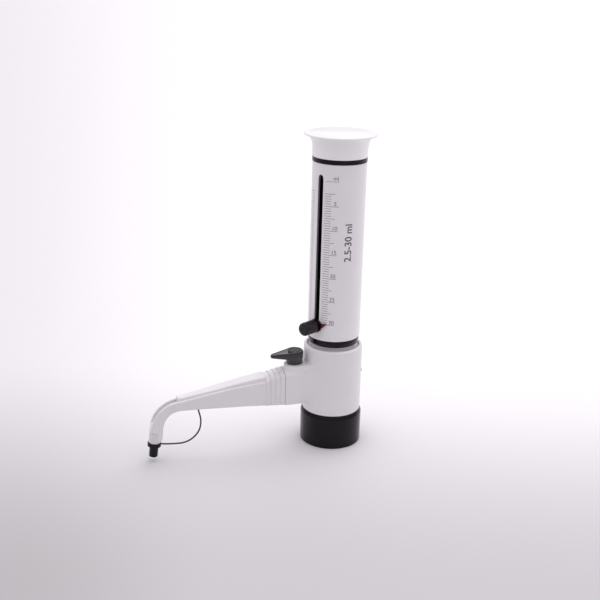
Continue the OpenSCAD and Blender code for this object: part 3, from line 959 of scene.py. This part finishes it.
def flat_letters(text, size, bold):
    """Raised letters as a bmesh in metres, in the plane of X and Y round the origin."""
    curve = bpy.data.curves.new("lettering", "FONT")
    curve.body = text
    curve.size = size * MM
    curve.align_x = "CENTER"
    curve.align_y = "CENTER"
    curve.extrude = 0.05 * MM
    curve.offset = bold * MM
    holder = bpy.data.objects.new("lettering", curve)
    bpy.context.scene.collection.objects.link(holder)
    bpy.context.view_layer.update()
    mesh = bpy.data.meshes.new_from_object(holder)
    work = bmesh.new()
    work.from_mesh(mesh)
    bpy.data.objects.remove(holder)
    bpy.data.meshes.remove(mesh)
    return work


def lettering(text, size, azimuth, z, upward=False, bold=0.0):
    """Text wrapped on the sleeve at an azimuth from the slot. Upward text runs up the sleeve.
    The letters are cut into narrow strips first, so that they bend."""
    work = flat_letters(text, size, bold)
    cuts = min(40, int(size * len(text) / LETTER_CUT))
    for k in range(-cuts, cuts + 1):
        for axis in ((1, 0, 0), (0, 1, 0)):
            bmesh.ops.bisect_plane(
                work, geom=work.verts[:] + work.edges[:] + work.faces[:],
                plane_co=Vector(axis) * (LETTER_CUT * MM * k), plane_no=axis,
            )
    bmesh.ops.remove_doubles(work, verts=work.verts, dist=1e-6)
    work.verts.index_update()
    points = []
    for vert in work.verts:
        x, y, out = vert.co / MM
        if upward:
            x, y = -y, x
        a = math.radians(slot_azimuth + azimuth) + x / sleeve_r
        r = sleeve_r + out
        points.append((r * math.cos(a), r * math.sin(a), z + y))
    faces = [tuple(v.index for v in f.verts) for f in work.faces]
    work.free()
    return points, faces


def scale_print():
    """Printed scale: a line each half millilitre, longer ones each 2.5 and 5 ml, and numbers."""
    zero_z = index_high.z + CAPACITY_ML * ML_PITCH - 0.85
    lines = [printed_line(LINE_START, LINE_END["long"], zero_z, 0.3)]
    numbers = [lettering("ml", 4.6, NUMBERS_AT, zero_z + 2.6)]
    for half_ml in range(5, 2 * CAPACITY_ML + 1):
        z = zero_z - half_ml * ML_PITCH / 2
        kind = "long" if half_ml % 10 == 0 else "medium" if half_ml % 5 == 0 else "short"
        lines.append(printed_line(LINE_START, LINE_END[kind], z))
        lines.append(printed_line(LEFT_START, LEFT_START - LEFT_LENGTH[kind], z))
        if kind == "long":
            numbers.append(lettering(str(half_ml // 2), 4.7, NUMBERS_AT, z + 2.35))
    recoloured(piece("scale_lines", lines, "plunger", "sleeve_plastic"), "scale_ink")
    numbers.append(lettering("2.5-30 ml", 8.6, RANGE_AT, RANGE_Z, upward=True, bold=0.12))
    recoloured(piece("scale_numbers", numbers, "plunger", "sleeve_plastic"), "scale_ink")


# ---- knob and vent plug ----

KNOB_R = 5.7
KNOB_LENGTH = 14
KNOB_FLUTES = 14


def fluted_ring(out, inset, depth):
    """Circle round the knob's axis at a distance out, with flutes of a depth."""
    points = []
    for k in range(KNOB_FLUTES * 8):
        phase = k % 8 / 8
        dip = depth * max(0.0, math.cos(2 * math.pi * (phase - 0.5))) ** 1.5
        a = 2 * math.pi * k / (KNOB_FLUTES * 8)
        radius = KNOB_R - inset - dip
        points.append((radius * math.cos(a), radius * math.sin(a), out))
    return points


def knob():
    """Fluted clamping knob with a sunk end."""
    start = sleeve_r + 2.85
    end = KNOB_LENGTH
    profile = (
        (0, 5.5, 0), (0, 1.2, 0), (0.15, 0.6, 0), (0.7, 0.25, 0.2), (1.4, 0, 0.5),
        (end - 1.6, 0, 0.5), (end - 0.8, 0.3, 0.3), (end - 0.2, 0.9, 0.1), (end, 1.6, 0),
        (end, 3.2, 0), (end - 0.4, 3.5, 0), (end - 0.4, 5.6, 0),
    )
    rings = [fluted_ring(start + out, inset, depth) for out, inset, depth in profile]
    piece("knob_shell", [moved(skin(rings), KNOB)], "knob", "knob_black", ["index_knob"])


def vent():
    """Plug of the vent in the back of the valve block."""
    low, high = box("vent_plug")
    start, end = low.x, high.x
    shoulder, dimple = block_r + 0.3, end - 0.3
    plug = rounded([
        (0, start, 0), (2, start, 0), (2, shoulder, 0.1), (2.6, shoulder, 0.1),
        (2.6, end, 0.5), (1.5, end, 0.1), (1.3, dimple, 0.1), (0, dimple, 0),
    ])
    middle = Matrix.Translation((0, 0, (low.z + high.z) / 2))
    shape = moved(lathe(plug, 64), middle @ Matrix.Rotation(math.radians(90), 4, "Y"))
    made = piece("vent_plug_shell", [shape], "base", "black_plastic", ["vent_plug"])
    recoloured(made, "vent_black")


# ---- CAD nodes that stay ----

NODE_SLOTS = {
    "retaining_ring": "stainless", "bottle_seal": "seal_rubber", "valve_core": "neck_grey",
    "filling_valve_body": "fluoropolymer", "discharge_valve_body": "fluoropolymer",
    "discharge_valve_plug": "fluoropolymer", "spindle_gland": "black_plastic",
    "spindle_o_ring": "seal_rubber", "barrel_gasket": "seal_rubber",
    "glass_barrel": "measuring_glass", "stroke_stop_ring": "black_plastic",
    "discharge_coupling": "fluoropolymer", "discharge_tube": "clear_tube",
    "piston_rod": "fluoropolymer", "piston_seal": "fluoropolymer",
    "index_tongue": "black_plastic", "index_pointer": "pointer_red",
    "valve_spindle": "fluoropolymer", "lever_screw": "stainless",
    "filling_valve_ball": "ceramic_ball", "discharge_valve_ball": "ceramic_ball",
}


def finish_node(name, slot):
    """Gives a CAD node its material, and softens its edges without moving its mesh."""
    node = frame["nodes"][name]
    node.data.materials.clear()
    node.data.materials.append(MATERIALS[slot])
    node.data.shade_smooth()
    weld = node.modifiers.new("weld", "WELD")
    weld.merge_threshold = 1e-6
    bevel = node.modifiers.new("edges", "BEVEL")
    bevel.width = 0.2 * MM
    bevel.segments = 2
    bevel.limit_method = "ANGLE"
    bevel.angle_limit = math.radians(35)
    node.modifiers.new("normals", "WEIGHTED_NORMAL")


# ---- studio ----

CAMERA_PLACE = Vector((-0.30026, -0.74317, 0.40567))
HEADING, PITCH, ROLL = math.radians(70.14), math.radians(19.05), math.radians(1.45)
SENSOR, LENS = 36, 58.8
FORWARD = Vector((math.cos(HEADING), math.sin(HEADING), 0))
ASIDE = Vector((math.sin(HEADING), -math.cos(HEADING), 0))
FLOOR_TINT = (0.97, 0.94, 0.98)
STUDIO_WHITE = (1, 0.985, 1, 1)


def floor():
    """Plain pale floor with painted shade, a little darker towards the camera and to its left."""
    bpy.ops.mesh.primitive_grid_add(x_subdivisions=8, y_subdivisions=8, size=40)
    made = bpy.context.object
    made.name = "floor"
    material = bpy.data.materials.new("floor")
    material.use_nodes = True
    tree = material.node_tree
    shader = tree.nodes["Principled BSDF"]
    shader.inputs["Roughness"].default_value = 0.7
    shader.inputs["Specular IOR Level"].default_value = 0.1
    place = add_node(tree, "TexCoord", {}).outputs["Object"]
    below_camera = (CAMERA_PLACE.x, CAMERA_PLACE.y, 0)
    away = add_node(tree, "VectorMath", {0: place, 1: below_camera}, operation="SUBTRACT")
    bearing = add_node(tree, "VectorMath", {0: away.outputs["Vector"]}, operation="NORMALIZE")
    ahead = dot(tree, place, FORWARD)
    aside = dot(tree, bearing.outputs["Vector"], ASIDE)
    smooth = {"high": 1.0, "interpolation_type": "SMOOTHSTEP"}
    # Painted shade: the floor's colour falls off towards the camera and to its left, where the
    # studio light falls off
    near = ranged(tree, ahead, start=-0.25, end=0.18, low=0.6, **smooth)
    left = ranged(tree, aside, start=-0.33, end=-0.07, low=0.82, **smooth)
    shade = add_node(tree, "Math", {0: near, 1: left}, operation="MULTIPLY")
    colour = scaled(tree, FLOOR_TINT, shade.outputs["Value"])
    feed(tree, shader.inputs["Base Color"], colour)
    made.data.materials.append(material)


def back_light():
    """Broad soft light from behind and from the right, which lays the shadow forwards."""
    data = bpy.data.lights.new("back_light", "SUN")
    data.energy = 0.55
    data.angle = math.radians(50)
    lamp = bpy.data.objects.new("back_light", data)
    bpy.context.scene.collection.objects.link(lamp)
    lamp.rotation_euler = Vector((-0.55, -0.45, -1)).to_track_quat("-Z", "Y").to_euler()


def surroundings():
    """White studio that is brightest overhead, and darkest low down behind the camera.
    The camera itself sees plain white beyond the floor."""
    world = bpy.data.worlds.new("studio")
    bpy.context.scene.world = world
    world.use_nodes = True
    tree = world.node_tree
    sight = add_node(tree, "TexCoord", {}).outputs["Generated"]
    ahead, up = dot(tree, sight, FORWARD), dot(tree, sight, (0, 0, 1))
    sides = ranged(tree, ahead, start=-0.9, end=0.6, low=0.32, high=0.52)
    overhead = ranged(tree, up, start=0, end=1, low=0, high=0.8)
    total = add_node(tree, "Math", {0: sides, 1: overhead}, operation="ADD")
    direct = add_node(tree, "LightPath", {}).outputs["Is Camera Ray"]
    shown = add_node(tree, "Mix", {"Factor": direct, "A": total.outputs["Value"], "B": 1})
    background = tree.nodes["Background"]
    feed(tree, background.inputs["Strength"], shown.outputs["Result"])
    background.inputs["Color"].default_value = STUDIO_WHITE


def camera():
    """Camera in front of the arm, looking down a little from above the cap."""
    data = bpy.data.cameras.new("camera")
    data.sensor_width = SENSOR
    data.lens = LENS
    made = bpy.data.objects.new("camera", data)
    bpy.context.scene.collection.objects.link(made)
    made.location = CAMERA_PLACE
    made.rotation_mode = "QUATERNION"
    level = FORWARD * math.cos(PITCH) - Vector((0, 0, math.sin(PITCH)))
    turn = Matrix.Rotation(ROLL, 3, "Z").to_quaternion()
    made.rotation_quaternion = level.to_track_quat("-Z", "Y") @ turn
    bpy.context.scene.camera = made


collar()
valve_block()
spout()
nozzle()
tether()
lever()
barrel_parts()
plunger_cap()
sleeve_band()
sleeve()
scale_print()
knob()
vent()
for name, slot in NODE_SLOTS.items():
    finish_node(name, slot)
# Painted shade on the red pointer round the foot of the knob
painted_shade_near(MATERIALS["pointer_red"], KNOB @ Vector((0, 0, sleeve_r + 2)), 6, 13, 0.08)

floor()
surroundings()
back_light()
camera()
bpy.context.scene.view_settings.view_transform = "Standard"
